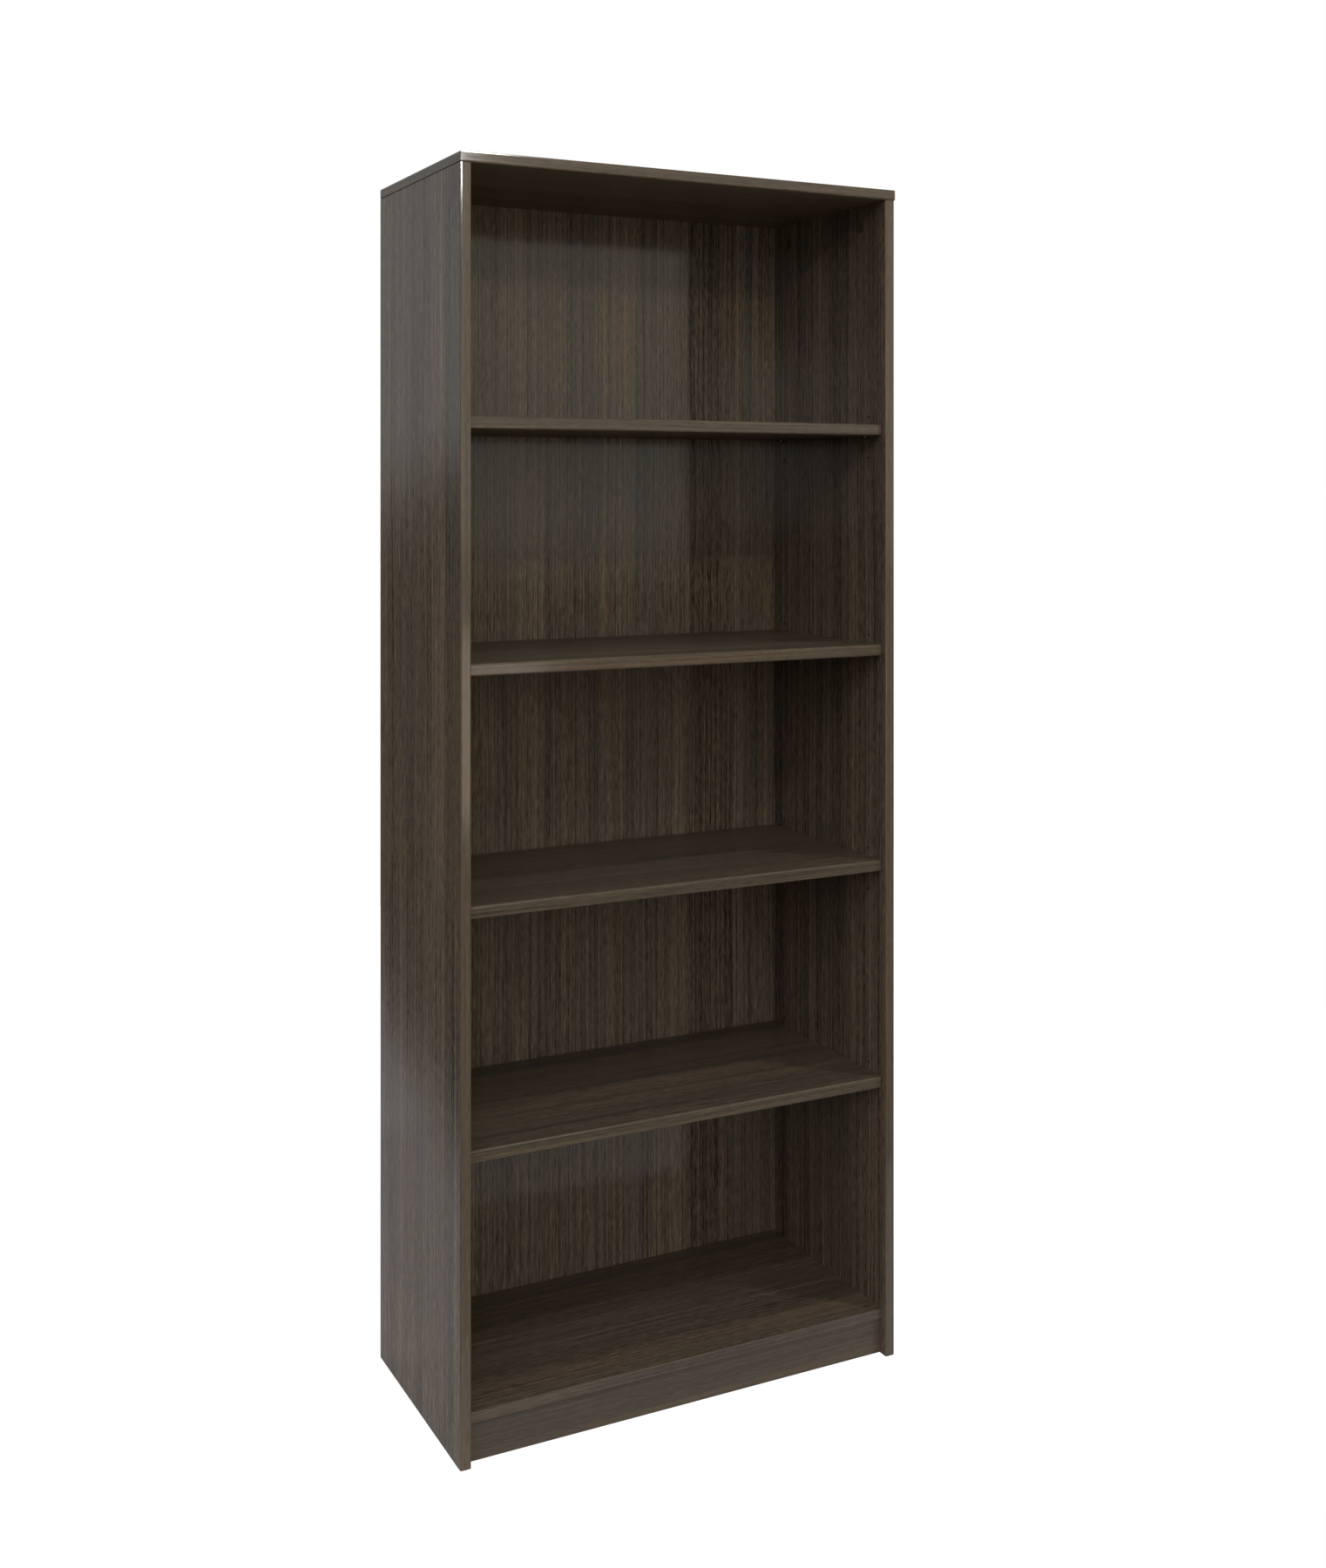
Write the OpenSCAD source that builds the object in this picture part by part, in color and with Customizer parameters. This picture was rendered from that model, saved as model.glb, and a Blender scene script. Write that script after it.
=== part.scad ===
// Open bookcase: two side panels, a top laid over them, a fixed bottom shelf on a kick plate, a grooved
// back panel and four adjustable shelves on 5 mm pins.
// +Z is up and the open front faces -Y. The origin is the centre of the bookcase's footprint, on the floor.

/* [Case] */
// Overall width
case_w = 712; // [500:1:900]
// Overall height
case_h = 1803; // [1720:1:2000]
// Depth of the side panels, with their front edge bands
side_d = 353; // [345:1:400]
// How far the top panel stands forward of the side panels
top_overhang = 1.5; // [0:0.5:10]
// Thickness of the case boards
board_t = 16; // [15:0.5:19]
// Thickness of the edge bands
band_t = 3; // [3:0.5:4]
// Radius of the edge bands' long outer edges
arris_r = 2.5; // [0.5:0.5:2.5]

/* [Back panel] */
// Thickness of the back panel
back_t = 6; // [4:0.5:6]
// Distance from the rear edge of the sides to the back panel
back_recess = 11; // [8:0.5:12]
// Height of the back panel's lower edge above the floor
back_lift = 12; // [5:1:30]

/* [Base] */
// Height of the kick plate's upper edge, which carries the bottom shelf
kick_top = 54; // [50:1:100]
// Height of the kick plate's lower edge above the floor
kick_lift = 0.5; // [0:0.5:5]
// Distance from the sides' front to the kick plate
kick_setback = 16; // [14:0.5:40]

/* [Shelves] */
// Thickness of the adjustable shelves
shelf_t = 17.5; // [15:0.5:19]
// Distance from the sides' front to the shelves
shelf_setback = 11; // [5:0.5:20]
// Gap between each end of a shelf and the side panel
shelf_gap = 1; // [0.5:0.25:1.5]
// Gap between a shelf and the back panel
shelf_rear_gap = 2; // [1:0.5:5]
// Height of shelf 1's underside, the uppermost shelf
shelf_1_z = 1423.5; // [1400:0.5:1440]
// Height of shelf 2's underside
shelf_2_z = 1082; // [1060:0.5:1100]
// Height of shelf 3's underside
shelf_3_z = 748; // [730:0.5:770]
// Height of shelf 4's underside, the lowest adjustable shelf
shelf_4_z = 412; // [390:0.5:430]

/* [Shelf pins] */
// Diameter of a pin hole
pin_hole_d = 5; // [4:0.5:5]
// Depth of a pin hole in the side panel
pin_hole_depth = 10; // [8:0.5:12]
// Distance from a shelf's front edge to the front row of pins
pin_inset = 37; // [30:1:60]
// Distance between the front row and the rear row of pins
pin_row_gap = 256; // [200:8:264]
// Step between the holes that one shelf can use
hole_pitch = 32; // [25:1:40]
// Length of the flat spade that carries the shelf
spade_l = 12; // [8:1:20]
// Width of the spade
spade_w = 9; // [8:0.5:12]
// Thickness of the spade
spade_t = 2.5; // [2.5:0.5:4]

/* [Cam joints] */
// Diameter of a cam lock's housing
cam_d = 15; // [12:1:15]
// Depth of a cam lock
cam_depth = 12.5; // [12:0.5:12.5]
// Distance from the joint to the centre of the cam
cam_reach = 34; // [24:1:34]
// Diameter of a dowel
dowel_d = 8; // [6:1:8]
// Length of a dowel
dowel_l = 30; // [25:1:35]
// Distance between a cam bolt and the dowel beside it
dowel_step = 32; // [25:1:40]

/* [Hidden] */
$fn = 48;
SIDES = ["left", "right"];
ROWS = ["front", "rear"];
SHELVES = [1:4];

laminate = [0.29, 0.25, 0.22];
banding = [0.36, 0.32, 0.28];
bronze = [0.26, 0.21, 0.16];
zinc = [0.62, 0.63, 0.64];
steel = [0.55, 0.56, 0.58];
beech = [0.80, 0.66, 0.47];
cover_brown = [0.22, 0.18, 0.15];

// Case faces
top_d = side_d + top_overhang;
rear_y = top_d / 2;
front_y = rear_y - side_d;
top_front_y = -top_d / 2;
outer_x = case_w / 2;
inner_x = outer_x - board_t;
side_h = case_h - board_t;
back_y = rear_y - back_recess - back_t;
bottom_top = kick_top + board_t;

// Back panel grooves
groove_depth = 8;
top_groove_depth = 7;
groove_slack = 0.5;

// Shelves
shelf_zs = [shelf_1_z, shelf_2_z, shelf_3_z, shelf_4_z];
shelf_front_y = front_y + shelf_setback;
shelf_half_w = inner_x - shelf_gap;

// Shelf pins: the stem's axis is one spade thickness below the shelf
pin_rows_y = [shelf_front_y + pin_inset, shelf_front_y + pin_inset + pin_row_gap];
pin_drop = spade_t;
pin_d = pin_hole_d - 0.1;
pin_stem_l = pin_hole_depth - 1;
pin_rib_l = 6;

// Cam joints: a bolt stands in the face of one board, and the cam in the other board pulls on its head
bolt_thread_d = 5;
bolt_thread_l = 10.5;
bolt_bore_l = 11;
bolt_collar_d = 7;
bolt_shank_d = 4;
bolt_head_d = 6.4;
bolt_head_l = 5;
shank_bore_d = 8;
cam_slot_d = 7.6;
cam_fit = 0.05;
cam_drive_d = 4.4;
cam_drive_depth = 2.5;
dowel_fit = 0.05;
dowel_end_gap = 0.5;
dowel_in_face = 10;
case_joint_ys = [front_y + 70, front_y + 290];
kick_bolt_z = 19;
kick_dowel_z = 41;
kick_mid_y = front_y + kick_setback + board_t / 2;

// Cam covers
cover_d = 17;
cover_t = 0.5;
cover_plug_d = 4;
cover_plug_l = 2;

// Back screws
back_screw_xs = [-280, -140, 0, 140, 280];
screw_d = 3.2;
screw_l = 20;
screw_fit = 0.05;
screw_head_d = 7;
screw_head_t = 1.8;
screw_recess = 1;

function pin_name(i, side, row) = str("pin_", i, "_", side, "_", row);
function row_y(row) = row == "front" ? pin_rows_y[0] : pin_rows_y[1];

// Dowels stand one step from the cam bolts, towards the middle of the case depth
function dowel_ys() = [case_joint_ys[0] + dowel_step, case_joint_ys[1] - dowel_step];

// ---- Shared shapes ----

// Anything drawn for the right-hand side, moved to the chosen side
module on_side(side) {
    if (side == "left") mirror([1, 0, 0]) children();
    else children();
}

module on_both_sides() {
    for (side = SIDES) on_side(side) children();
}

// Box from two opposite corners
module block(low, high) {
    translate(low) cube(high - low);
}

// Cylinder along X, growing towards +X from x = 0
module rod_x(d, l) {
    rotate([0, 90, 0]) cylinder(d = d, h = l);
}

// Cylinder along Y, growing towards +Y from y = 0
module rod_y(d, l) {
    rotate([-90, 0, 0]) cylinder(d = d, h = l);
}

// Section of an edge band w wide: its glued side is at y = band_t, its free side faces -Y with round corners
module band_section(w) {
    translate([0, arris_r]) square([w, band_t - arris_r]);
    translate([arris_r, 0]) square([w - 2 * arris_r, arris_r]);
    for (x = [arris_r, w - arris_r]) {
        intersection() {
            translate([x, arris_r]) circle(r = arris_r);
            square([w, arris_r]);
        }
    }
}

// Edge band along X, for a horizontal board t thick that faces -Y, centred on x = 0
module band_along_x(l, t) {
    translate([-l / 2, 0, t]) rotate([0, 90, 0]) linear_extrude(l) band_section(t);
}

// ---- Hardware, each drawn with its joint plane or panel face at the origin ----

// Cam bolt: thread towards +X in the face of one board, head towards -X inside the cam
module cam_bolt() {
    rod_x(bolt_thread_d - 0.1, bolt_thread_l);
    translate([-1, 0, 0]) rod_x(bolt_collar_d, 1);
    translate([-cam_reach, 0, 0]) rod_x(bolt_shank_d, cam_reach);
    translate([-cam_reach - bolt_head_l / 2, 0, 0]) rod_x(bolt_head_d, bolt_head_l);
}

// Bore in the board face that the cam bolt is screwed into
module bolt_bore() {
    rod_x(bolt_thread_d, bolt_bore_l);
}

// Bores in the other board: one along its plane for the bolt, and one in its face for the cam.
// The board's face is at z = -board_t / 2, with the bolt's axis in the middle of the board.
module cam_bores() {
    translate([-cam_reach, 0, 0]) rod_x(shank_bore_d, cam_reach);
    translate([-cam_reach, 0, -board_t / 2]) cylinder(d = cam_d, h = cam_depth + 0.3);
}

// Cam lock: a drum in the board's face, slotted from its rim to its middle for the bolt's head
module cam_lock() {
    translate([-cam_reach, 0, -board_t / 2]) difference() {
        cylinder(d = cam_d - 2 * cam_fit, h = cam_depth);
        translate([-bolt_head_l, 0, board_t / 2]) rod_x(cam_slot_d, cam_d);
        cylinder(d = cam_drive_d, h = cam_drive_depth);
        for (turn = [0, 90]) {
            rotate([0, 0, turn]) translate([-4.5, -0.6, 0]) cube([9, 1.2, 1.8]);
        }
    }
}

// Dowel across the joint plane, with dowel_in_face of it towards +X
module dowel() {
    translate([dowel_in_face - dowel_l, 0, 0]) rod_x(dowel_d - 2 * dowel_fit, dowel_l);
}

// The dowel's bore through both boards
module dowel_bore() {
    translate([dowel_in_face - dowel_l - dowel_end_gap, 0, 0]) rod_x(dowel_d, dowel_l + 2 * dowel_end_gap);
}

// ---- Where the joints are ----

// Children placed at the joint between the right side's upper edge and the top, at each given depth:
// +X of the child turns up into the top panel, and the cam's face turns to the inside of the case
module at_top_joints(ys) {
    for (y = ys) {
        translate([outer_x - board_t / 2, y, side_h]) rotate([180, -90, 0]) children();
    }
}

// Children placed at the joint between the bottom shelf and the right side, cam face down
module at_bottom_joints(ys) {
    for (y = ys) {
        translate([inner_x, y, kick_top + board_t / 2]) children();
    }
}

// Children placed at the joint between the kick plate and the right side, cam face to the rear
module at_kick_joint(z) {
    translate([inner_x, kick_mid_y, z]) rotate([90, 0, 0]) children();
}

// ---- Case ----

// Right-hand side panel, without its front band
module side_panel(side) {
    color(laminate) on_side(side) difference() {
        block([inner_x, front_y + band_t, 0], [outer_x, rear_y, side_h]);
        // groove for the back panel
        block([inner_x - 1, back_y, -1], [inner_x + groove_depth, back_y + back_t, side_h + 1]);
        // three pin holes in each row for each shelf
        for (z = shelf_zs, y = pin_rows_y, step = [-1:1]) {
            translate([inner_x - 1, y, z - pin_drop + step * hole_pitch]) rod_x(pin_hole_d, pin_hole_depth + 1);
        }
        at_top_joints(case_joint_ys) cam_bores();
        at_top_joints(dowel_ys()) dowel_bore();
        at_bottom_joints(case_joint_ys) bolt_bore();
        at_bottom_joints(dowel_ys()) dowel_bore();
        at_kick_joint(kick_bolt_z) bolt_bore();
        at_kick_joint(kick_dowel_z) dowel_bore();
    }
}

module side_band(side) {
    color(banding) on_side(side) translate([inner_x, front_y, 0]) linear_extrude(side_h) band_section(board_t);
}

module top_panel() {
    edge_x = outer_x - band_t;
    groove_x = inner_x + groove_depth;
    color(laminate) difference() {
        block([-edge_x, top_front_y + band_t, side_h], [edge_x, rear_y, case_h]);
        block([-groove_x, back_y, side_h - 1], [groove_x, back_y + back_t, side_h + top_groove_depth]);
        on_both_sides() {
            at_top_joints(case_joint_ys) bolt_bore();
            at_top_joints(dowel_ys()) dowel_bore();
        }
    }
}

module top_front_band() {
    color(banding) translate([0, top_front_y, side_h]) band_along_x(case_w, board_t);
}

module top_end_band(side) {
    l = top_d - band_t;
    color(banding) on_side(side) translate([outer_x, top_front_y + band_t + l / 2, side_h])
        rotate([0, 0, 90]) band_along_x(l, board_t);
}

module bottom_shelf() {
    color(laminate) difference() {
        block([-inner_x, shelf_front_y + band_t, kick_top], [inner_x, back_y, bottom_top]);
        on_both_sides() {
            at_bottom_joints(case_joint_ys) cam_bores();
            at_bottom_joints(dowel_ys()) dowel_bore();
        }
        at_back_screws() rod_y(screw_d + 2 * screw_fit, screw_l + 1);
    }
}

module bottom_shelf_band() {
    color(banding) translate([0, shelf_front_y, kick_top]) band_along_x(2 * inner_x, board_t);
}

module kick_plate() {
    kick_front_y = front_y + kick_setback;
    color(laminate) difference() {
        block([-inner_x, kick_front_y, kick_lift], [inner_x, kick_front_y + board_t, kick_top]);
        on_both_sides() {
            at_kick_joint(kick_bolt_z) cam_bores();
            at_kick_joint(kick_dowel_z) dowel_bore();
        }
    }
}

module back_panel() {
    half_w = inner_x + groove_depth - groove_slack;
    color(laminate) difference() {
        block([-half_w, back_y, back_lift], [half_w, back_y + back_t, side_h + top_groove_depth - groove_slack]);
        at_back_screws() rod_y(screw_d + 2 * screw_fit, screw_l + 1);
    }
}

// ---- Shelves and their pins ----

module shelf_board(i) {
    z = shelf_zs[i - 1];
    color(laminate)
        block([-shelf_half_w, shelf_front_y + band_t, z], [shelf_half_w, back_y - shelf_rear_gap, z + shelf_t]);
}

module shelf_band(i) {
    color(banding) translate([0, shelf_front_y, shelf_zs[i - 1]]) band_along_x(2 * shelf_half_w, shelf_t);
}

// Pin: a round stem in the side panel and a flat spade under the shelf, with the stem's rib below the spade
module shelf_pin(i, side, row) {
    tip_r = spade_w / 2;
    color(bronze) on_side(side) translate([inner_x, row_y(row), shelf_zs[i - 1] - pin_drop]) {
        translate([-pin_rib_l, 0, 0]) rod_x(pin_d, pin_rib_l + pin_stem_l);
        linear_extrude(spade_t) {
            translate([tip_r - spade_l, -tip_r]) square([spade_l - tip_r, spade_w]);
            translate([tip_r - spade_l, 0]) circle(r = tip_r);
        }
    }
}

// ---- Fasteners ----

module top_cam_locks() {
    color(zinc) on_both_sides() at_top_joints(case_joint_ys) cam_lock();
}

module bottom_cam_locks() {
    color(zinc) on_both_sides() at_bottom_joints(case_joint_ys) cam_lock();
}

module kick_cam_locks() {
    color(zinc) on_both_sides() at_kick_joint(kick_bolt_z) cam_lock();
}

module top_cam_bolts() {
    color(steel) on_both_sides() at_top_joints(case_joint_ys) cam_bolt();
}

module bottom_cam_bolts() {
    color(steel) on_both_sides() at_bottom_joints(case_joint_ys) cam_bolt();
}

module kick_cam_bolts() {
    color(steel) on_both_sides() at_kick_joint(kick_bolt_z) cam_bolt();
}

module top_dowels() {
    color(beech) on_both_sides() at_top_joints(dowel_ys()) dowel();
}

module bottom_dowels() {
    color(beech) on_both_sides() at_bottom_joints(dowel_ys()) dowel();
}

module kick_dowels() {
    color(beech) on_both_sides() at_kick_joint(kick_dowel_z) dowel();
}

// Thin round covers pressed into the drives of the four upper cams
module cam_covers() {
    color(cover_brown) on_both_sides() at_top_joints(case_joint_ys)
        translate([-cam_reach, 0, -board_t / 2]) {
            translate([0, 0, -cover_t]) cylinder(d = cover_d, h = cover_t);
            cylinder(d = cover_plug_d, h = cover_plug_l);
        }
}

// Children placed on the back panel's rear face, one at each screw, drawn towards +Y
module at_back_screws() {
    for (x = back_screw_xs) {
        translate([x, back_y + back_t - screw_l, kick_top + board_t / 2]) children();
    }
}

module back_screws() {
    color(steel) at_back_screws() difference() {
        union() {
            rod_y(screw_d, screw_l);
            translate([0, screw_l, 0]) rod_y(screw_head_d, screw_head_t);
        }
        for (turn = [0, 90]) {
            translate([0, screw_l + screw_head_t - screw_recess, 0]) rotate([0, turn, 0])
                translate([-2, 0, -0.5]) cube([4, screw_recess + 1, 1]);
        }
    }
}

side_panel("left");  // left_side_panel
side_panel("right");  // right_side_panel
top_panel();
bottom_shelf();
kick_plate();
back_panel();
side_band("left");  // left_side_band
side_band("right");  // right_side_band
top_front_band();
top_end_band("left");  // top_left_band
top_end_band("right");  // top_right_band
bottom_shelf_band();
for (i = SHELVES) {
    shelf_board(i);
    shelf_band(i);
}
for (i = SHELVES, side = SIDES, row = ROWS) {
    shelf_pin(i, side, row);
}
top_cam_locks();
bottom_cam_locks();
kick_cam_locks();
top_cam_bolts();
bottom_cam_bolts();
kick_cam_bolts();
top_dowels();
bottom_dowels();
kick_dowels();
cam_covers();
back_screws();
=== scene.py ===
"""Looks of the bookcase: procedural materials on the CAD pieces, a pale floor and studio light.

Lengths are in metres, in the part's own frame: +Z is up, the open front faces -Y and the origin is the
centre of the footprint on the floor.
"""

import math
import bpy
from mathutils import Matrix, Vector


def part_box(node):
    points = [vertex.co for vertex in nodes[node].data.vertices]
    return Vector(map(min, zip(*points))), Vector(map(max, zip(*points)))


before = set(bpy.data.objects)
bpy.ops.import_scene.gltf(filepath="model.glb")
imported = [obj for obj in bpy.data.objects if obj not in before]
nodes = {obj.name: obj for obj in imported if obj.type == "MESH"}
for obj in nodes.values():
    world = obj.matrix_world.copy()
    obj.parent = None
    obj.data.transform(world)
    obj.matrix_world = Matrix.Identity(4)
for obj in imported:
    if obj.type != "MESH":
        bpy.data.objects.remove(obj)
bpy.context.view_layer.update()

scene = bpy.context.scene


# ---- Node graphs written as expressions ----


class Graph:
    """Adds shader nodes to one tree. A value is a number, a tuple or another node's output socket."""

    def __init__(self, tree):
        self.tree = tree
        tree.nodes.clear()

    def add(self, kind, inputs=None, **settings):
        node = self.tree.nodes.new(kind)
        for key, value in settings.items():
            setattr(node, key, value)
        for key, value in (inputs or {}).items():
            self.feed(node.inputs[key], value)
        return node

    def feed(self, socket, value):
        if isinstance(value, bpy.types.NodeSocket):
            self.tree.links.new(value, socket)
        else:
            socket.default_value = value

    def math(self, operation, a, b=0.0, clamp=False):
        node = self.add("ShaderNodeMath", {0: a, 1: b}, operation=operation, use_clamp=clamp)
        return node.outputs[0]

    def clamped(self, value):
        """The value kept between 0 and 1."""
        return self.math("ADD", value, clamp=True)

    def times_plus(self, a, factor, term):
        node = self.add("ShaderNodeMath", {0: a, 1: factor, 2: term}, operation="MULTIPLY_ADD")
        return node.outputs[0]

    def vector(self, operation, a, b=(0.0, 0.0, 0.0)):
        node = self.add("ShaderNodeVectorMath", {0: a, 1: b}, operation=operation)
        return node.outputs["Value" if operation == "DOT_PRODUCT" else "Vector"]

    def noise(self, point, detail=2.0, roughness=0.5, output="Fac"):
        inputs = {"Vector": point, "Scale": 1.0, "Detail": detail, "Roughness": roughness}
        return self.add("ShaderNodeTexNoise", inputs).outputs[output]

    def remap(self, value, low, high, out_low=0.0, out_high=1.0, smooth=False):
        inputs = {"Value": value, "From Min": low, "From Max": high, "To Min": out_low, "To Max": out_high}
        kind = "SMOOTHSTEP" if smooth else "LINEAR"
        return self.add("ShaderNodeMapRange", inputs, interpolation_type=kind).outputs["Result"]

    def mix(self, factor, a, b):
        node = self.add("ShaderNodeMix", data_type="RGBA")
        colour_a, colour_b = [socket for socket in node.inputs if socket.type == "RGBA"]
        self.feed(node.inputs["Factor"], factor)
        self.feed(colour_a, a)
        self.feed(colour_b, b)
        return next(socket for socket in node.outputs if socket.type == "RGBA")

    def scale_colour(self, colour, factor):
        node = self.add("ShaderNodeVectorMath", {0: colour, "Scale": factor}, operation="SCALE")
        return node.outputs["Vector"]

    def bump(self, height, distance):
        return self.add("ShaderNodeBump", {"Height": height, "Distance": distance}).outputs["Normal"]

    def position(self):
        """The point on the piece, in metres in the part's frame."""
        return self.add("ShaderNodeTexCoord").outputs["Object"]

    def parts_of(self, vector):
        """The X, Y and Z sockets of a vector."""
        return self.add("ShaderNodeSeparateXYZ", {0: vector}).outputs


WHITE = (1.0, 1.0, 1.0)


def rgba(colour):
    return (*colour, 1.0)


def axes_vector(along, on_axis, across):
    """A vector with one value on the grain's axis and another on the two axes across it."""
    return tuple(on_axis if axis == along else across for axis in "XYZ")


def new_material(name):
    material = bpy.data.materials.new(name)
    material.use_nodes = True
    return material, Graph(material.node_tree)


def principled(g, **inputs):
    """The surface shader and the material's output. Underscores in the names stand for spaces."""
    shader = g.add("ShaderNodeBsdfPrincipled", {k.replace("_", " "): v for k, v in inputs.items()})
    output = g.add("ShaderNodeOutputMaterial")
    g.tree.links.new(shader.outputs[0], output.inputs["Surface"])


# ---- Wood-print laminate ----

GLOSS = 0.105  # roughness of the uprights, the back and the edge bands
SATIN = 0.40  # roughness of the level boards
RAW = 0.85  # roughness of bare particleboard
PRINT_IOR = 1.5
FACING = 0.6  # how squarely the surface looks along the faces' axis before it counts as laminate
EDGE_MARGIN = 0.0006  # how close to the board's box its bare edges lie
CHIP_CELLS = 420.0  # particleboard's chips, in cells per metre, and their share of its shade
CHIP_WEIGHT = 0.6
COARSE_CELLS = 260.0  # the coarser shade over the chips
COARSE_WEIGHT = 0.5
BROWN = (0.160, 0.118, 0.077)
OLIVE = (0.136, 0.108, 0.070)
GREY = (0.104, 0.086, 0.063)
# Painted shade: the dark colour inside the bores
BORE_PAINTED_SHADE = (0.050, 0.036, 0.024)
BAND_TONE = (0.98, 0.99, 1.02)
BAND_CONTRAST = 0.45
CORE_DARK = (0.30, 0.20, 0.115)
CORE_LIGHT = (0.50, 0.37, 0.235)

# Painted shade from the right side panel, a darker stripe on the back: its middle, half its width, its soft
# edge and its level
PAINTED_SHADE_X = 0.215
PAINTED_SHADE_HALF = 0.042
PAINTED_SHADE_SOFT = 0.01
PAINTED_SHADE_TONE = 0.70

# The grain's layers: noise cells per metre along and across the grain, roughness, and a shift within the
# noise. The noise mostly stays within NOISE_RANGE, and FLECK_RANGE keeps only a layer's brightest specks.
GRAIN = {
    "bands": (0.35, 12.0, 0.5, 0.0),
    "tint": (0.40, 20.0, 0.5, 7.7),
    "hue": (1.3, 300.0, 0.6, 11.3),
    "streaks": (0.8, 75.0, 0.6, 2.4),
    "lines": (1.0, 400.0, 0.6, 3.1),
    "dashes": (60.0, 520.0, 0.6, 5.3),
    "flecks": (24.0, 800.0, 0.5, 9.1),
}
NOISE_RANGE = (0.28, 0.72)
FLECK_RANGE = (0.35, 0.9)

# The print's colour turns from grey to olive over the first range of its mix, and to brown over the second
MIX_START = 0.5
OLIVE_RANGE = (0.0, 0.55)
BROWN_RANGE = (0.45, 1.0)

# How far each layer moves the print from grey through olive to brown, lightens it, raises it and dulls it
COLOUR_WEIGHTS = {"tint": 0.45, "hue": 0.50, "streaks": 0.20}
LIGHT_WEIGHTS = {"bands": 0.14, "streaks": 0.10, "lines": 0.44, "dashes": 0.38, "flecks": 0.42}
BOARD_RELIEF_WEIGHTS = {"dashes": 0.6, "streaks": 0.7}
BAND_RELIEF_WEIGHTS = {"streaks": 0.7}
BOARD_ROUGHNESS_WEIGHTS = {"streaks": 0.01, "dashes": 0.012, "lines": 0.012}
BAND_ROUGHNESS_WEIGHTS = {"lines": 0.012}
DARKEST = 0.15
BOARD_RELIEF = 0.00002
BAND_RELIEF = 0.00001

# The grain wanders slowly, and ripples a little, most where it is figured: cells per metre along and across
# the grain, and how far it is pushed sideways
WANDER_CELLS = (1.9, 1.7)
WANDER_REACH = 0.010
RIPPLE_CELLS = (19.0, 42.0)
RIPPLE_REACH = 0.0007
FIGURE_CELLS = (2.0, 8.0)
FIGURE_RANGE = (0.50, 0.68)
RIPPLE_SHARE = (0.2, 1.6)


def stretched_noise(g, point, along, cells, output="Fac"):
    return g.noise(g.vector("MULTIPLY", point, axes_vector(along, *cells)), 1.0, output=output)


def pushed_sideways(g, point, along, push, reach):
    return g.vector("ADD", point, g.vector("MULTIPLY", push, axes_vector(along, 0.0, reach)))


def weighted_sum(g, layers, weights, start, scale=1.0):
    """start plus each layer times its weight and scale."""
    total = start
    for name, weight in weights.items():
        total = g.times_plus(layers[name], weight * scale, total)
    return total


def grain_layers(g, along, offset):
    """The layers of GRAIN, from about -1 to 1, but flecks from 0 to 1."""
    middle = (0.5, 0.5, 0.5)
    point = g.vector("ADD", g.position(), offset)
    wander = g.vector("SUBTRACT", stretched_noise(g, point, along, WANDER_CELLS, "Color"), middle)
    point = pushed_sideways(g, point, along, wander, WANDER_REACH)
    ripple = g.vector("SUBTRACT", stretched_noise(g, point, along, RIPPLE_CELLS, "Color"), middle)
    figured = stretched_noise(g, point, along, FIGURE_CELLS)
    ripple = g.scale_colour(ripple, g.remap(figured, *FIGURE_RANGE, *RIPPLE_SHARE))
    point = pushed_sideways(g, point, along, ripple, RIPPLE_REACH)
    layers = {}
    for name, (cells_along, cells_across, roughness, shift) in GRAIN.items():
        stretched = g.vector("MULTIPLY", point, axes_vector(along, cells_along, cells_across))
        value = g.noise(g.vector("ADD", stretched, (shift, shift, shift)), 1.0, roughness)
        layers[name] = g.remap(value, *NOISE_RANGE, -1.0, 1.0)
    layers["flecks"] = g.remap(layers["flecks"], *FLECK_RANGE)
    return layers


def wood_colour(g, layers, contrast, level):
    mixed = weighted_sum(g, layers, COLOUR_WEIGHTS, MIX_START)
    colour = g.mix(g.remap(mixed, *OLIVE_RANGE), rgba(GREY), rgba(OLIVE))
    colour = g.mix(g.remap(mixed, *BROWN_RANGE), colour, rgba(BROWN))
    value = weighted_sum(g, layers, LIGHT_WEIGHTS, level, contrast)
    return g.scale_colour(colour, g.math("MAXIMUM", value, DARKEST))


def core_colour(g, board, faces):
    """Particleboard: pale and dark chips of a few millimetres on the board's edges, and inside its bores a
    dark colour that is painted shade.
    Returns the colour, and the chips' shade for the relief."""
    point = g.position()
    chips = g.add("ShaderNodeTexVoronoi", {"Vector": point, "Scale": CHIP_CELLS, "Randomness": 1.0})
    coarse = g.noise(g.scale_colour(point, COARSE_CELLS), 3.0, 0.6)
    chip_shade = g.add("ShaderNodeSeparateColor", {0: chips.outputs["Color"]}).outputs[0]
    shade = g.times_plus(coarse, COARSE_WEIGHT, g.times_plus(chip_shade, CHIP_WEIGHT, 0.0))
    chip_colour = g.mix(g.clamped(shade), rgba(CORE_DARK), rgba(CORE_LIGHT))
    low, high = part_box(board)
    outermost = 0.0
    for axis, place, start, end in zip("XYZ", g.parts_of(point), low, high):
        if axis != faces:
            from_middle = g.math("ABSOLUTE", g.math("SUBTRACT", place, (start + end) / 2))
            at_edge = g.math("GREATER_THAN", from_middle, (end - start) / 2 - EDGE_MARGIN)
            outermost = g.math("MAXIMUM", outermost, at_edge)
    # Painted shade: what is neither laminate face nor outer edge, the inside of the bores, takes the dark
    # colour
    return g.mix(outermost, rgba(BORE_PAINTED_SHADE), chip_colour), shade


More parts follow.
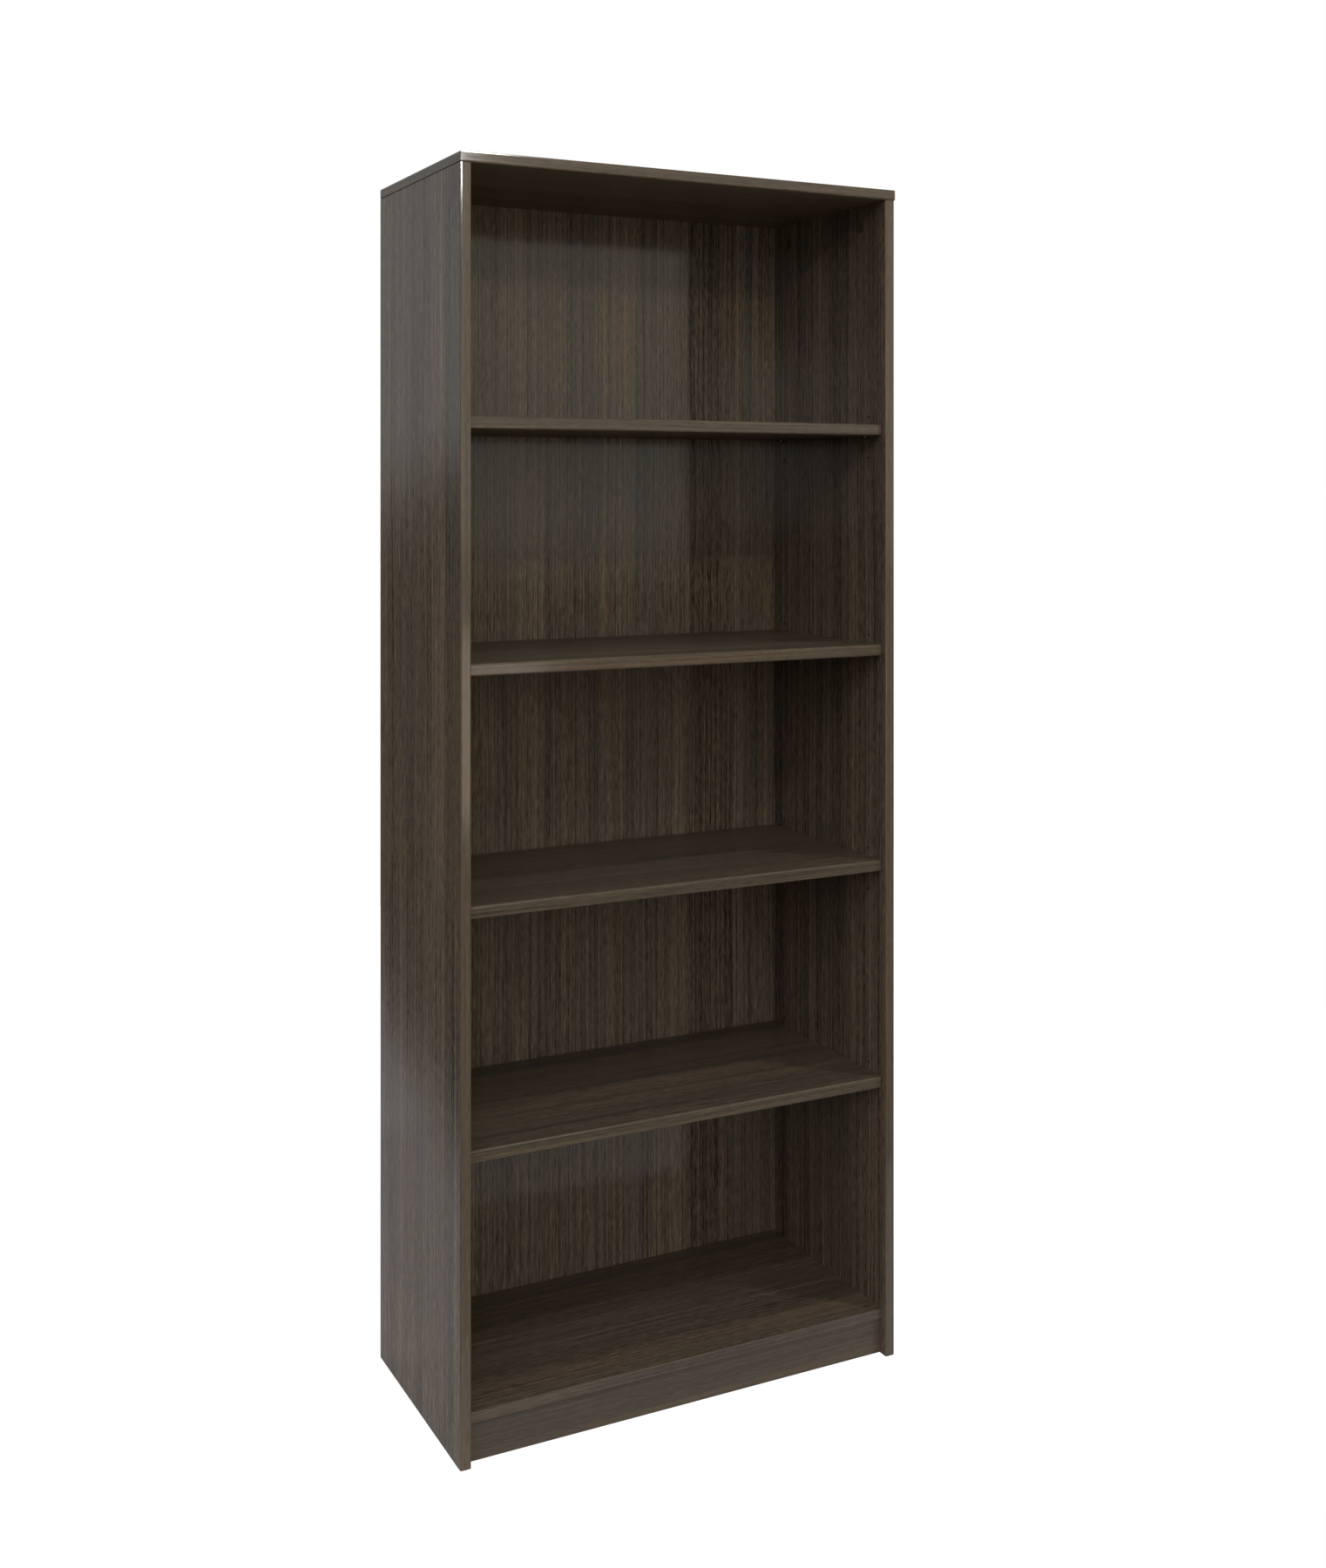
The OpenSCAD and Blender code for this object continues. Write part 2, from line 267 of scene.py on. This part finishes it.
def level_with_painted_shade(g, level):
    """The back's level, lower in a stripe of painted shade from the right side panel."""
    from_stripe = g.math("ABSOLUTE", g.math("SUBTRACT", g.parts_of(g.position())["X"], PAINTED_SHADE_X))
    inner = PAINTED_SHADE_HALF - PAINTED_SHADE_SOFT
    outer = PAINTED_SHADE_HALF + PAINTED_SHADE_SOFT
    return g.remap(from_stripe, inner, outer, level * PAINTED_SHADE_TONE, level, smooth=True)


def board_material(board, along, faces, offset, gloss, level, contrast):
    """Laminate on the two faces that look along the axis faces, and bare board on edges and in bores, with
    painted shade as the bores' colour.
    """
    material, g = new_material("laminate_" + board)
    layers = grain_layers(g, along, offset)
    normal = g.add("ShaderNodeTexCoord").outputs["Normal"]
    facing = g.math("ABSOLUTE", g.vector("DOT_PRODUCT", normal, axes_vector(faces, 1.0, 0.0)))
    on_face = g.math("GREATER_THAN", facing, FACING)
    core, chips = core_colour(g, board, faces)
    # Painted shade: a darker stripe on the back next to the right side panel
    if board == "back_panel":
        level = level_with_painted_shade(g, level)
    colour = g.mix(on_face, core, wood_colour(g, layers, contrast, level))
    relief = weighted_sum(g, layers, BOARD_RELIEF_WEIGHTS, layers["lines"])
    relief = g.mix(on_face, chips, relief)
    roughness = weighted_sum(g, layers, BOARD_ROUGHNESS_WEIGHTS, gloss)
    roughness = g.mix(on_face, rgba((RAW,) * 3), roughness)
    normal = g.bump(relief, BOARD_RELIEF)
    principled(g, Base_Color=colour, Roughness=roughness, IOR=PRINT_IOR, Normal=normal)
    return material


def band_material(name, along, offset, level):
    """Edge band: the same print, calmer and a little paler."""
    material, g = new_material(name)
    layers = grain_layers(g, along, offset)
    colour = g.vector("MULTIPLY", wood_colour(g, layers, BAND_CONTRAST, level), BAND_TONE)
    relief = weighted_sum(g, layers, BAND_RELIEF_WEIGHTS, layers["lines"])
    roughness = weighted_sum(g, layers, BAND_ROUGHNESS_WEIGHTS, GLOSS)
    principled(g, Base_Color=colour, Roughness=roughness, IOR=PRINT_IOR, Normal=g.bump(relief, BAND_RELIEF))
    return material


# ---- Fittings ----

# Metal: colour, roughness, grain in noise cells per metre, and relief in metres
METALS = {
    "bronze": ((0.12, 0.088, 0.060), 0.34, 2400.0, 0.000004),
    "zinc": ((0.52, 0.53, 0.54), 0.48, 1500.0, 0.00002),
    "steel": ((0.56, 0.56, 0.56), 0.34, 2000.0, 0.000006),
}
# A metal's broad blotches have BROAD_SHARE of the cells of its fine grain. Both lighten it and dull it.
BROAD_SHARE = 0.12
SHADE_START = 0.7
SHADE_BROAD = 0.35
SHADE_FINE = 0.25
ROUGH_DROP = 0.14
ROUGH_BROAD = 0.12
ROUGH_FINE = 0.16

# Beech dowels and brown plastic covers
BEECH_DARK = (0.48, 0.30, 0.15)
BEECH_PALE = (0.74, 0.55, 0.34)
BEECH_GRAIN_CELLS = 900.0
BEECH_TONE_CELLS = 60.0
BEECH_ROUGHNESS = 0.6
BEECH_RELIEF = 0.00005
COVER_BROWN = (0.062, 0.044, 0.030)
COVER_STIPPLE_CELLS = 1600.0
COVER_TONE_CELLS = 90.0
COVER_ROUGHNESS = 0.36
COVER_RELIEF = 0.00002


def metal_material(name, colour, roughness, grain, relief):
    """Plated or lacquered metal."""
    material, g = new_material(name)
    point = g.position()
    fine = g.noise(g.scale_colour(point, grain), 3.0, 0.6)
    broad = g.noise(g.scale_colour(point, grain * BROAD_SHARE), 2.0)
    shade = g.times_plus(fine, SHADE_FINE, g.times_plus(broad, SHADE_BROAD, SHADE_START))
    tone = g.scale_colour(colour, shade)
    rough = g.times_plus(fine, ROUGH_FINE, g.times_plus(broad, ROUGH_BROAD, roughness - ROUGH_DROP))
    principled(g, Base_Color=tone, Metallic=1.0, Roughness=rough, Normal=g.bump(fine, relief))
    return material


def dowel_material(name):
    material, g = new_material(name)
    point = g.position()
    grain = g.noise(g.scale_colour(point, BEECH_GRAIN_CELLS), 3.0, 0.6)
    tone = g.noise(g.scale_colour(point, BEECH_TONE_CELLS), 2.0)
    paleness = g.times_plus(grain, 0.6, g.times_plus(tone, 0.4, 0.0))
    colour = g.mix(paleness, rgba(BEECH_DARK), rgba(BEECH_PALE))
    principled(g, Base_Color=colour, Roughness=BEECH_ROUGHNESS, Normal=g.bump(grain, BEECH_RELIEF))
    return material


def cover_material(name):
    material, g = new_material(name)
    point = g.position()
    stipple = g.noise(g.scale_colour(point, COVER_STIPPLE_CELLS), 2.0, 0.6)
    tone = g.noise(g.scale_colour(point, COVER_TONE_CELLS), 2.0)
    colour = g.scale_colour(COVER_BROWN, g.times_plus(tone, 0.3, 0.85))
    rough = g.times_plus(stipple, 0.15, COVER_ROUGHNESS)
    principled(g, Base_Color=colour, Roughness=rough, Normal=g.bump(stipple, COVER_RELIEF))
    return material


def assign(node_name, material):
    mesh = nodes[node_name].data
    mesh.materials.clear()
    mesh.materials.append(material)


# Board: the grain's axis, the axis its faces look along, where in the print it was cut, roughness, level
# and contrast
# The same print at a different level on each board: painted light and shade, lighter on the top panel and
# darker on the right side panel and the shelves
BOARDS = {
    "left_side_panel": ("Z", "X", (0.0, 0.0, 0.0), GLOSS, 1.05, 1.55),
    "right_side_panel": ("Z", "X", (2.3, 1.1, 0.7), GLOSS, 0.86, 1.15),
    "back_panel": ("Z", "Y", (3.6, 0.9, 1.8), GLOSS, 1.07, 1.05),
    "kick_plate": ("X", "Y", (0.2, 1.4, 2.9), SATIN, 0.94, 0.35),
    "top_panel": ("X", "Z", (0.4, 3.1, 0.2), SATIN, 1.40, 0.80),
    "bottom_shelf": ("X", "Z", (1.9, 0.6, 2.2), SATIN, 0.87, 0.90),
    "shelf_1": ("X", "Z", (3.3, 1.7, 0.9), SATIN, 0.80, 0.90),
    "shelf_2": ("X", "Z", (0.8, 2.6, 1.5), SATIN, 0.80, 0.90),
    "shelf_3": ("X", "Z", (2.7, 0.3, 3.4), SATIN, 0.80, 0.90),
    "shelf_4": ("X", "Z", (1.2, 3.8, 0.5), SATIN, 0.84, 0.90),
}
for board, (along, faces, offset, gloss, level, contrast) in BOARDS.items():
    assign(board, board_material(board, along, faces, offset, gloss, level, contrast))

# Painted light and shade: the bands' levels differ, and shelf 1's band is a darker copy of the level bands
upright_band = band_material("band_upright", "Z", (0.3, 0.1, 0.8), 1.18)
level_band = band_material("band_level", "X", (0.9, 0.7, 0.1), 1.05)
end_band = band_material("band_end", "Y", (0.1, 0.2, 0.6), 1.18)
painted_shade_band = band_material("band_level_painted_shade", "X", (0.5, 2.7, 1.1), 0.90)
for name in nodes:
    if name.endswith("_band"):
        if name in ("top_left_band", "top_right_band"):
            assign(name, end_band)
        elif "side" in name:
            assign(name, upright_band)
        elif name == "shelf_1_band":
            assign(name, painted_shade_band)
        else:
            assign(name, level_band)

bronze, zinc, steel = [metal_material(name, *values) for name, values in METALS.items()]
beech = dowel_material("beech")
cover_brown = cover_material("cover_brown")
for name in nodes:
    if name.startswith("pin_"):
        assign(name, bronze)
    elif name.endswith("_cam_locks"):
        assign(name, zinc)
    elif name.endswith("_cam_bolts") or name == "back_screws":
        assign(name, steel)
    elif name.endswith("_dowels"):
        assign(name, beech)
    elif name == "cam_covers":
        assign(name, cover_brown)


# ---- Floor ----

# Outline of the pale floor sheet, anticlockwise from its rear left corner. It ends close to the bookcase at
# the left and at the front, and the glossy panels show where.
FLOOR_OUTLINE = [
    (-1.06, 3.00),
    (-0.78, 1.03),
    (-0.60, -0.18),
    (-0.21, -0.54),
    (0.79, -0.82),
    (2.20, -1.10),
    (2.60, 3.00),
]
floor_mesh = bpy.data.meshes.new("floor")
floor_mesh.from_pydata([(x, y, 0.0) for x, y in FLOOR_OUTLINE], [], [tuple(range(len(FLOOR_OUTLINE)))])
floor = bpy.data.objects.new("floor", floor_mesh)
scene.collection.objects.link(floor)
floor_material, g = new_material("floor")
FLOOR_ALBEDO = 0.78
FLOOR_GLOW = 0.85
camera_ray = g.add("ShaderNodeLightPath").outputs["Is Camera Ray"]
matte = g.add("ShaderNodeBsdfDiffuse", {"Color": rgba((FLOOR_ALBEDO,) * 3)})
glow = g.add("ShaderNodeEmission", {"Strength": g.math("MULTIPLY", camera_ray, FLOOR_GLOW)})
both = g.add("ShaderNodeAddShader", {0: matte.outputs[0], 1: glow.outputs[0]})
g.add("ShaderNodeOutputMaterial", {"Surface": both.outputs[0]})
floor_mesh.materials.append(floor_material)


# ---- World: soft studio walls above a slightly tilted horizon, dark below, white to the camera ----

world = bpy.data.worlds.new("studio")
world.use_nodes = True
scene.world = world
g = Graph(world.node_tree)
BELOW = (0.07, 0.06, 0.05)
LOW_REAR = (0.36, 0.36, 0.36)
LOW_FRONT_LEFT = (0.64, 0.62, 0.66)
LOW_FRONT_RIGHT = (0.65, 0.65, 0.60)
HIGH_REAR = (0.28, 0.28, 0.28)
HIGH_FRONT_LEFT = (0.88, 0.82, 0.93)
HIGH_FRONT_RIGHT = (0.04, 0.04, 0.04)
CEILING = (0.50, 0.50, 0.50)
# The horizon's height, as the height of a unit direction, and how it climbs to the left
HORIZON = -0.040
LEFT_HORIZON = 0.030
HORIZON_SLOPE = -0.6
SLOPE_START = -0.19
HORIZON_BLUR = 0.006
CORNER_BLUR = 0.06
HIGH_WALL = (0.28, 0.40)
CEILING_EDGE = (0.70, 0.82)
side, depth, height = g.parts_of(g.add("ShaderNodeTexCoord").outputs["Generated"])
edge = g.times_plus(side, HORIZON_SLOPE, SLOPE_START)
edge = g.math("MINIMUM", g.math("MAXIMUM", edge, HORIZON), LEFT_HORIZON)
above = g.remap(g.math("SUBTRACT", height, edge), -HORIZON_BLUR, HORIZON_BLUR)
to_right = g.remap(side, -CORNER_BLUR, CORNER_BLUR, smooth=True)
to_rear = g.remap(depth, -CORNER_BLUR, CORNER_BLUR, smooth=True)
low_wall = g.mix(to_rear, g.mix(to_right, rgba(LOW_FRONT_LEFT), rgba(LOW_FRONT_RIGHT)), rgba(LOW_REAR))
high_wall = g.mix(to_rear, g.mix(to_right, rgba(HIGH_FRONT_LEFT), rgba(HIGH_FRONT_RIGHT)), rgba(HIGH_REAR))
studio_colour = g.mix(above, rgba(BELOW), low_wall)
studio_colour = g.mix(g.remap(height, *HIGH_WALL, smooth=True), studio_colour, high_wall)
studio_colour = g.mix(g.remap(height, *CEILING_EDGE, smooth=True), studio_colour, rgba(CEILING))
camera_ray = g.add("ShaderNodeLightPath").outputs["Is Camera Ray"]
seen = g.mix(camera_ray, studio_colour, rgba(WHITE))
background = g.add("ShaderNodeBackground", {"Color": seen, "Strength": 1.0})
g.add("ShaderNodeOutputWorld", {"Surface": background.outputs[0]})


# ---- Lights ----


def from_angles(azimuth, elevation):
    """Unit vector from the bookcase towards azimuth degrees right of its front, at elevation degrees."""
    a, e = math.radians(azimuth), math.radians(elevation)
    return Vector((math.sin(a) * math.cos(e), -math.cos(a) * math.cos(e), math.sin(e)))


def add_light(name, kind, colour, place, target, **settings):
    data = bpy.data.lights.new(name, kind)
    data.color = colour
    for key, value in settings.items():
        setattr(data, key, value)
    light = bpy.data.objects.new(name, data)
    scene.collection.objects.link(light)
    light.location = place
    light.rotation_euler = (Vector(target) - Vector(place)).to_track_quat("-Z", "Y").to_euler()
    light.visible_camera = False
    return light


def light_only(light, names):
    """Limits a light to some of the bookcase's pieces."""
    receivers = bpy.data.collections.new(light.name + "_receivers")
    for name in names:
        receivers.objects.link(nodes[name])
    light.light_linking.receiver_collection = receivers


MIDDLE = Vector((0.0, 0.0, 0.9))
CAMERA_PLACE = (-1.1885, -2.4207, 1.3394)
SPOT_COLOUR = (1.0, 0.88, 0.72)
SUN_COLOUR = (1.0, 0.96, 1.0)
PANEL_COLOUR = (1.0, 0.85, 0.72)
FILL_COLOUR = (1.0, 0.93, 0.88)
WARM_WHITE = (1.0, 0.95, 0.90)
SUN_DISTANCE = 5.0
SUN_ANGLE = math.radians(4)
LOW_DISTANCE = 3.0
CAMERA_PANEL_HEIGHT = 1.50

# A small lamp above the front, left out of the gloss of the uprights
SPOT_PLACE = (-0.256, -1.522, 2.271)
SPOT = {"energy": 3.2, "size": 0.08}
UPRIGHTS = ["left_side_panel", "right_side_panel", "back_panel"]
spot = add_light("upper_spot", "AREA", SPOT_COLOUR, SPOT_PLACE, MIDDLE, **SPOT)
light_only(spot, [name for name in nodes if name not in UPRIGHTS])
matte_spot = add_light("upper_spot_matte", "AREA", SPOT_COLOUR, SPOT_PLACE, MIDDLE, **SPOT)
matte_spot.visible_glossy = False
light_only(matte_spot, UPRIGHTS)

# Two weak suns
right_place = from_angles(40, 56) * SUN_DISTANCE + MIDDLE
right_sun = add_light("right_sun", "SUN", SUN_COLOUR, right_place, MIDDLE, energy=0.36, angle=SUN_ANGLE)
right_sun.visible_glossy = False
left_place = from_angles(-72, 10.5) * SUN_DISTANCE + MIDDLE
add_light("left_sun", "SUN", WARM_WHITE, left_place, MIDDLE, energy=0.06, angle=SUN_ANGLE)

# A low panel in front for every piece but the back panel, a fill in its place for the back panel alone,
# and a panel over the camera
LOW_TARGET = Vector((-0.25, -0.176, 1.02))
low_place = LOW_TARGET + from_angles(14.5, -7.9) * LOW_DISTANCE
low_panel = add_light("low_panel", "AREA", PANEL_COLOUR, low_place, LOW_TARGET, energy=3.6,
                      shape="RECTANGLE", size=0.95, size_y=0.60)
light_only(low_panel, [name for name in nodes if name != "back_panel"])
back_fill = add_light("back_fill", "AREA", FILL_COLOUR, low_place, LOW_TARGET, energy=4.8, size=0.80)
back_fill.visible_glossy = False
light_only(back_fill, ["back_panel"])
panel_place = (*CAMERA_PLACE[:2], CAMERA_PANEL_HEIGHT)
add_light("camera_panel", "AREA", WARM_WHITE, panel_place, MIDDLE, energy=3.4, size=0.6)


# Two bright panels, each of which shows only in the gloss of one edge band: at the left band's upper end,
# and near the left end of the top's front band


def add_glint(name, band, centre, away, up, width, height, energy):
    """A panel at centre that faces -away, has its height along up and lights only one band's gloss."""
    light = add_light(name, "AREA", WHITE, centre, centre - away, energy=energy,
                      shape="RECTANGLE", size=width, size_y=height)
    across = up.cross(away).normalized()
    light.rotation_euler = Matrix((across, away.cross(across), away)).transposed().to_euler()
    light.visible_diffuse = False
    light_only(light, [band])


LEFT_GLINT_BASE = Vector((-0.355, -0.175, 2.235))
LEFT_GLINT_DISTANCE = 1.2
LEFT_GLINT_UP = Vector((0, 0, 1))
TOP_GLINT_BASE = Vector((-0.350, -0.175, 1.80))
TOP_GLINT_UP = Vector((0, 0.829, 0.559))
left_away = from_angles(-23, 0)
left_centre = LEFT_GLINT_BASE + left_away * LEFT_GLINT_DISTANCE
add_glint("left_glint", "left_side_band", left_centre, left_away, LEFT_GLINT_UP,
          width=1.84, height=0.50, energy=230.0)
top_away = Vector((0.33, -0.526, 0.780)).normalized()
top_centre = TOP_GLINT_BASE + top_away
add_glint("top_glint", "top_front_band", top_centre, top_away, TOP_GLINT_UP,
          width=0.20, height=2.0, energy=90.0)


# ---- Camera ----

# A level camera, so that the bookcase's uprights are upright in the picture. Its lens is shifted down to
# frame the bookcase.
CAMERA_TURN = 26.97  # degrees to the right of straight at the back
camera_data = bpy.data.cameras.new("camera")
camera_data.sensor_fit = "VERTICAL"
camera_data.sensor_height = 36.0
camera_data.sensor_width = 28.0
camera_data.lens = 40.04
camera_data.shift_y = -0.1877
camera = bpy.data.objects.new("camera", camera_data)
scene.collection.objects.link(camera)
camera.location = CAMERA_PLACE
camera.rotation_euler = (math.radians(90), 0.0, math.radians(-CAMERA_TURN))
scene.camera = camera
scene.view_settings.view_transform = "Standard"
